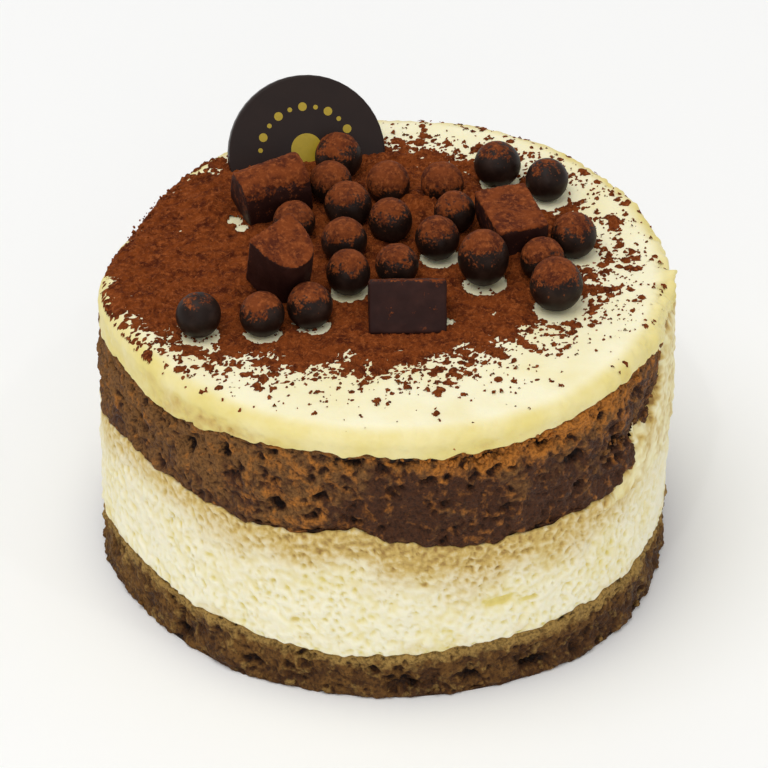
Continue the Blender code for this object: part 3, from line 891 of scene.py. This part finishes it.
def dusted_chocolate(name, body, worn, roughness):
    """Waxy dark chocolate, under cocoa where the piece's dust field is above 0."""
    material, tree, shader = principled(name, roughness, Specular_IOR_Level=0.14)
    thin = ranged(tree, speckle(tree, 480.0, 4.0), 0.45, 0.75, 0.0, 0.5)
    coat = blend(tree, thin, body, worn)
    powder = cocoa_skin(tree)
    loose = reckon(tree, "MULTIPLY_ADD", speckle(tree, 3000.0, 2.0), 1.9, attribute(tree, "dust"))
    share = ranged(tree, loose, 0.62, 1.1, 0.0, 0.72)
    colour = blend(tree, share, coat, powder["Color"])
    dull = ranged(tree, share, 0.0, 1.0, roughness, 0.97)
    normal = bumped(tree, 0.6, 0.18 * MM, reckon(tree, "MULTIPLY", share, powder["Height"]))
    feed(tree, shader.inputs, {"Base Color": colour, "Roughness": dull, "Normal": normal})
    return material


def dust_on(points, facing, amount, shift):
    """The dust field: above 0 on what faces up, with a ragged lower edge."""
    ragged = 0.35 * lumps(points, 1.6 * MM, shift) + 0.3 * lumps(points, 0.7 * MM, shift + 3)
    return (facing[:, 2] - 0.12 * facing[:, 0] + ragged - amount) * 1.7 - 0.25


ball_way, ball_faces = ball(5)
# How low the cocoa reaches on each pearl: 0.5 is the usual cap, and a higher value is barer.
PEARL_BARENESS = {4: 0.25, 12: 0.95, 13: 0.05, 14: 0.05, 16: 0.75, 17: 0.85, 5: 0.45, 19: 0.3, 2: 0.3}
pearl_skin = dusted_chocolate("pearl_skin", CHOCOLATE, CHOCOLATE_WORN, 0.42)
for number in range(1, 22):
    node = f"pearl_{number:02d}"
    low, high = GARNISH_BOXES[node]
    half = np.array((high - low) / 2)
    centre = np.array((low + high) / 2)
    shift = 300 + 10 * number
    points = ball_way * half * 1.01
    dust = dust_on(points + centre, ball_way, PEARL_BARENESS.get(number, 0.45), shift)
    dents = 0.07 * lumps(points, 3.2 * MM, shift + 5) + 0.02 * lumps(points, 1.1 * MM, shift + 6)
    clots = 0.10 * np.clip(dust, 0, 1) * (1 + 0.9 * lumps(points, 0.55 * MM, shift + 7))
    points = centre + points + ball_way * ((dents + clots) * MM)[:, None]
    pearl = new_mesh(f"pearl_{number:02d}_coated", points, ball_faces, {"dust": dust})
    pearl.data.materials.append(pearl_skin)
    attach(pearl, "root")
    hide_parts(node)

# ---------------------------------------------------------------- cut bars
# Short lengths of baking chocolate, flat on the side that lay in the mould and rounded on the other,
# snapped to size. Their edges are a little worn, and cocoa lies on whatever faces up.

BAR_SKIN = 0.24 * MM
bar_skin = dusted_chocolate("bar_skin", srgb(42, 20, 16), srgb(62, 34, 28), 0.55)
for number, bareness in ((1, 0.12), (2, 0.25), (3, 0.82), (4, 0.2)):
    node = f"chunk_{number}"
    bar = frame["nodes"][node].copy()
    bar.data = bar.data.copy()
    bar.name = f"chunk_{number}_cut"
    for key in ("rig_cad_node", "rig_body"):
        del bar[key]
    bar.parent = None
    SCENE.collection.objects.link(bar)
    weld = bar.modifiers.new("weld", "WELD")
    weld.merge_threshold = 0.005 * MM
    remesh = bar.modifiers.new("remesh", "REMESH")
    remesh.mode = "VOXEL"
    remesh.voxel_size = BAR_SKIN
    soften = bar.modifiers.new("soften", "SMOOTH")
    soften.factor = 0.5
    soften.iterations = 3
    bpy.context.view_layer.update()
    made = bpy.data.meshes.new_from_object(bar.evaluated_get(bpy.context.evaluated_depsgraph_get()))
    bpy.data.objects.remove(bar)
    points = np.empty(len(made.vertices) * 3)
    made.vertices.foreach_get("co", points)
    points = points.reshape(-1, 3)
    facing = np.array([v.normal[:] for v in made.vertices])
    faces = np.array([polygon.vertices[:] for polygon in made.polygons])
    bpy.data.meshes.remove(made)
    shift = 600 + 20 * number
    dust = dust_on(points, facing, bareness, shift)
    wear = 0.08 * lumps(points, 2.5 * MM, shift + 5) + 0.04 * lumps(points, 0.9 * MM, shift + 6)
    clots = 0.12 * np.clip(dust, 0, 1) * (1 + 0.9 * lumps(points, 0.6 * MM, shift + 7))
    points = points + facing * ((wear + clots) * MM)[:, None]
    bar = new_mesh(f"chunk_{number}_cut", points, faces, {"dust": dust})
    bar.data.materials.append(bar_skin)
    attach(bar, "root")
    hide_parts(node)

# ---------------------------------------------------------------- the plaque
# A thin moulded disc of dark chocolate with a satin face, pushed into the cream at the back left so
# that it leans back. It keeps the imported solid's own shape.

plaque = frame["nodes"]["plaque"]
plaque_skin, plaque_tree, plaque_shader = principled("plaque_skin", 0.4, Specular_IOR_Level=0.15)
haze = speckle(plaque_tree, 300.0, 4.0)
tint = blend(plaque_tree, haze, srgb(34, 24, 22), srgb(46, 34, 30))
satin = ranged(plaque_tree, haze, 0.0, 1.0, 0.34, 0.5)
ripple = bumped(plaque_tree, 0.15, 0.1 * MM, haze)
feed(plaque_tree, plaque_shader.inputs, {"Base Color": tint, "Roughness": satin, "Normal": ripple})
plaque.data.materials.clear()
plaque.data.materials.append(plaque_skin)

# ---------------------------------------------------------------- the plaque's print
# Coloured cocoa butter carried onto the plaque's face from a transfer sheet while it set. It is
# plain: a yellow disc under an arc of dots.

PRINT_LIFT = 0.03 * MM
plaque_points = node_points("plaque")
plaque_middle = (plaque_points.min(0) + plaque_points.max(0)) / 2
spread = np.linalg.svd(plaque_points - plaque_middle, full_matrices=False)[2]
face_way = Vector(spread[2])
if face_way.y > 0:
    face_way = -face_way
face_right = Vector((0, 0, 1)).cross(face_way).normalized()
face_up = face_way.cross(face_right)
half_thick = max((Vector(p) - Vector(plaque_middle)).dot(face_way) for p in plaque_points)
PLAQUE_HALF = max((Vector(p) - Vector(plaque_middle)).dot(face_right) for p in plaque_points)
print_points, print_faces = [], []


def print_disc(across, up, radius, steps=28):
    """A flat printed dot on the plaque's face, in shares of the plaque's radius."""
    start = len(print_points)
    middle = Vector(plaque_middle) + face_way * (half_thick + PRINT_LIFT)
    for step in range(steps):
        a = math.tau * step / steps
        offset = face_right * (across + radius * math.cos(a)) + face_up * (up + radius * math.sin(a))
        print_points.append(middle + offset * PLAQUE_HALF)
    print_faces.append(list(range(start, start + steps)))


for step in range(11):
    angle = math.radians(170 - 16 * step)
    print_disc(0.6 * math.cos(angle), 0.6 * math.sin(angle), 0.055 if step % 2 else 0.03)
print_disc(0.0, 0.06, 0.2, 48)
print_mesh = bpy.data.meshes.new("plaque_print")
print_mesh.from_pydata(print_points, [], print_faces)
plaque_print = bpy.data.objects.new("plaque_print", print_mesh)
SCENE.collection.objects.link(plaque_print)
gold, gold_tree, gold_shader = principled("yellow_transfer", 0.45)
patchy = speckle(gold_tree, 1500.0, 3.0)
ink = blend(gold_tree, patchy, srgb(158, 134, 8), srgb(178, 150, 14))
gold_tree.links.new(ink, gold_shader.inputs["Base Color"])
print_mesh.materials.append(gold)
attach(plaque_print, "root")

# ---------------------------------------------------------------- loose crumbs
# Crumbs of sponge torn loose by the ring. They stick to the wet cream along each sponge's edges, and
# most thickly under the cap at the front right and over the smear.

crumb_points, crumb_faces = ball(2)
crumb_form = (crumb_points * (1 + 0.35 * lumps(crumb_points, 0.9, 3))[:, None], crumb_faces)
rims = {name: seamed_rim(name) for name in ("lower_sponge", "upper_sponge")}


def crumb_row(node, count, middle, spread, level, sizes, material):
    """Crumbs round a sponge's rim. level is 0 at its foot and 1 at its top."""
    radius, foot, top = rims[node]
    turn = np.radians(chance.normal(middle, spread, count))
    turn = (turn + math.pi) % math.tau - math.pi
    low_high = [np.interp(turn, AZIMUTH, values, period=math.tau) for values in (foot, top)]
    height = low_high[0] + (low_high[1] - low_high[0]) * (level + chance.normal(0, 0.05, count))
    away = np.interp(turn, AZIMUTH, radius, period=math.tau) - chance.uniform(0.1, 0.7, count) * MM
    centres = np.stack([away * np.cos(turn), away * np.sin(turn), np.maximum(height, 0.9 * MM)], -1)
    name = f"{node}_crumbs_{int(level * 10)}"
    row = scattered_lumps(name, crumb_form, centres, chance.uniform(*sizes, count) * MM)
    for key, value in (("depth", 0.0), ("tone", 0.1), ("toast", 0.35 if level > 0.5 else 0.1)):
        field = row.data.attributes.new(key, "FLOAT", "POINT")
        field.data.foreach_set("value", [value] * len(row.data.vertices))
    row.data.materials.append(material)
    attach(row, "root")


crumb_row("upper_sponge", 90, -58, 16, 0.96, (0.25, 0.6), upper_crumb)
crumb_row("upper_sponge", 60, -22, 14, 0.45, (0.2, 0.45), upper_crumb)
crumb_row("lower_sponge", 70, -90, 60, 0.05, (0.25, 0.5), lower_crumb)
